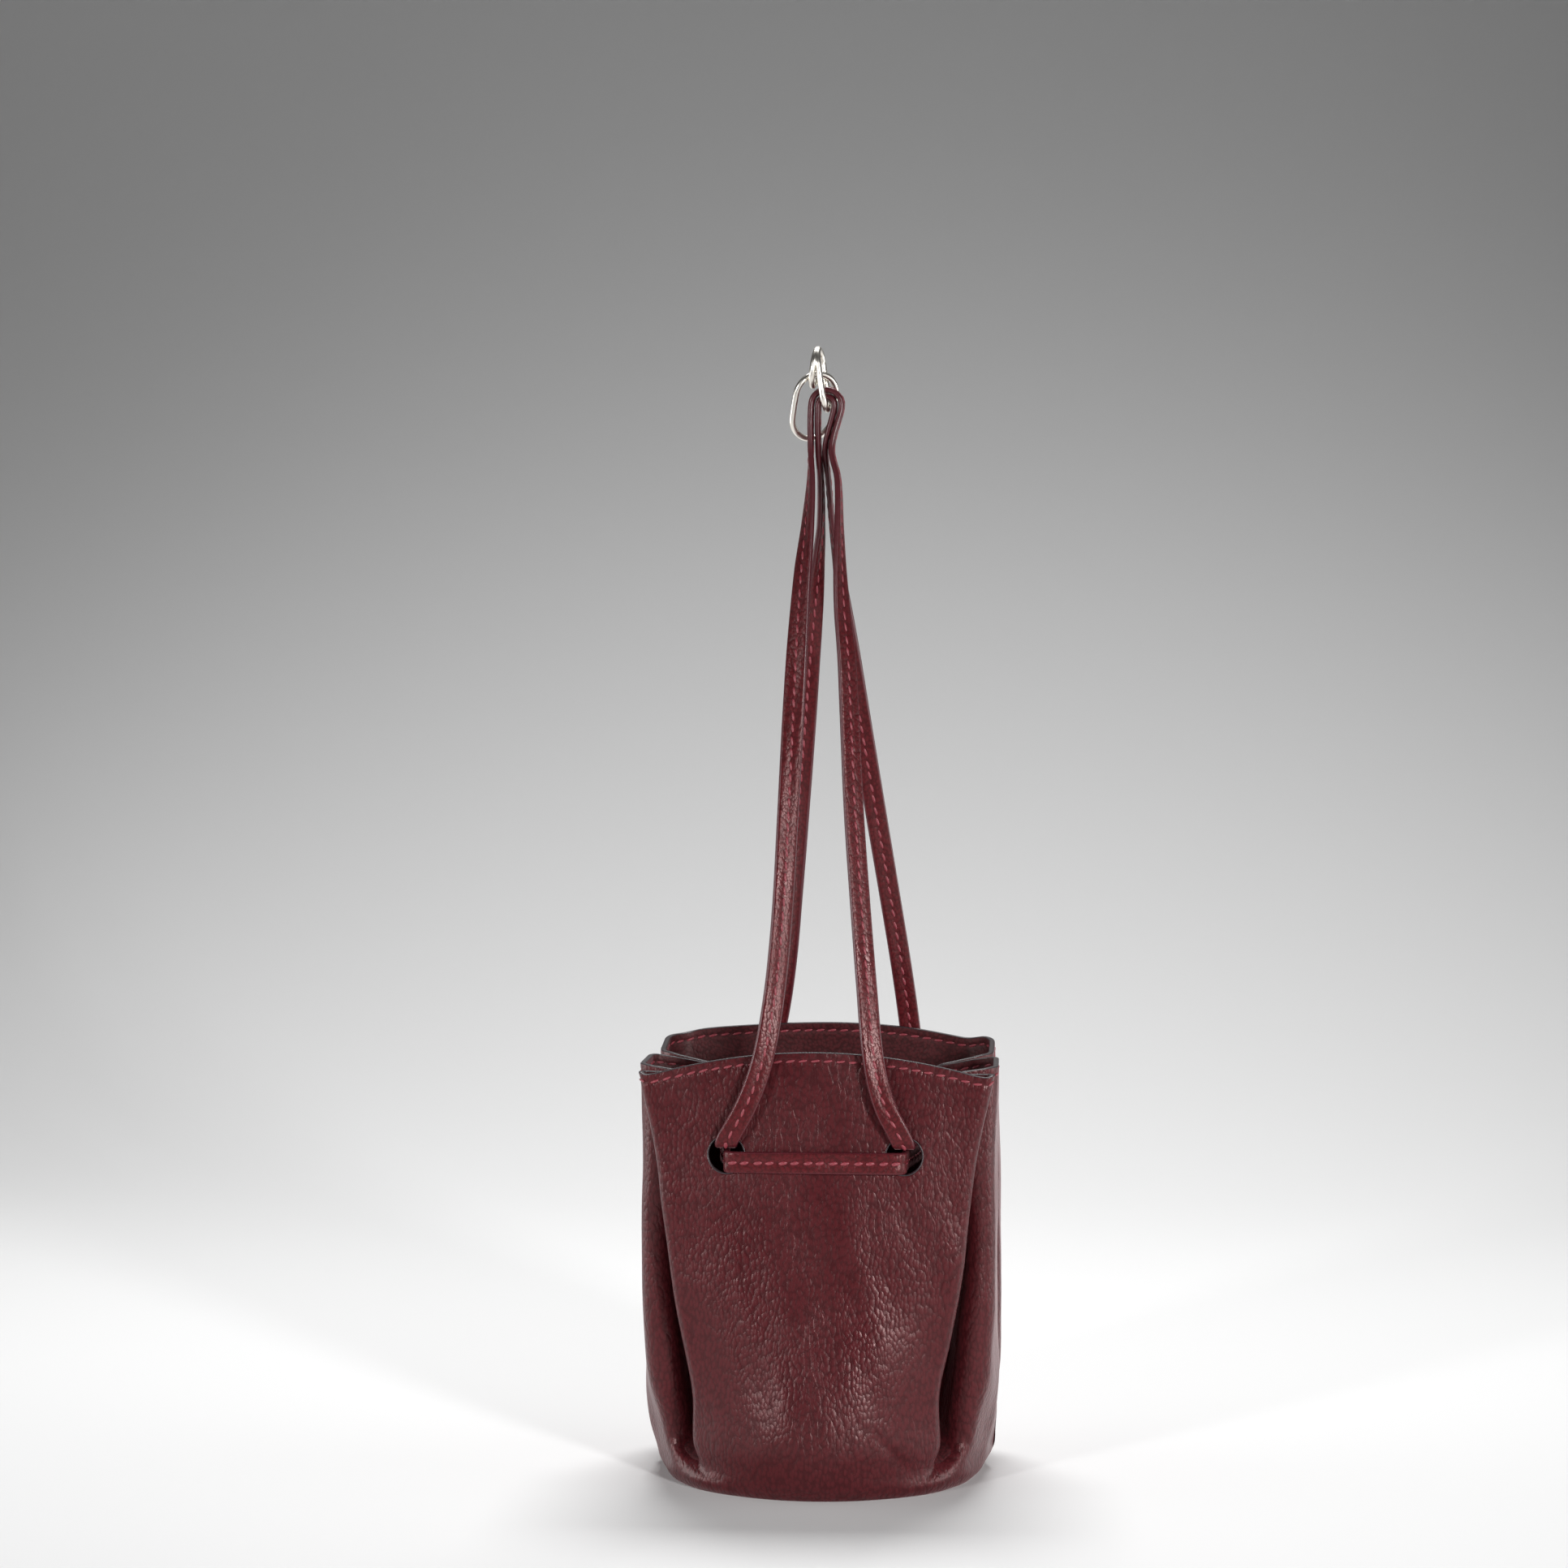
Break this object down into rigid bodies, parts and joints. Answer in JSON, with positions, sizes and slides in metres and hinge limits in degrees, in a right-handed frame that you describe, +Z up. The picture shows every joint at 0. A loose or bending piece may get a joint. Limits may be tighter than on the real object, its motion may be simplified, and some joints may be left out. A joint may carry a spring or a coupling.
{
  "type": "leather drawstring pouch",
  "caption": "Small round-based leather drawstring pouch with folded sides, flat stitched straps threaded through holes, and a metal hook and oval ring.",
  "frame": {"origin": "centre of the round base, on the surface the pouch stands on", "axes": "+Z up along the bag to the hook, front panel facing -Y, +X to the right seen from the front"},
  "size_m": [0.0938, 0.0903, 0.2973],
  "materials": {
    "leather": "glossy pebbled burgundy leather",
    "strap_leather": "burgundy leather strap, satin, with painted edges",
    "silver_metal": "polished pale silver"
  },
  "bodies": {
    "root": {"pouch_body": "leather", "front_strap": "strap_leather", "back_strap": "strap_leather", "strap_hook": "silver_metal", "oval_ring": "silver_metal"}
  },
  "joints": []
}
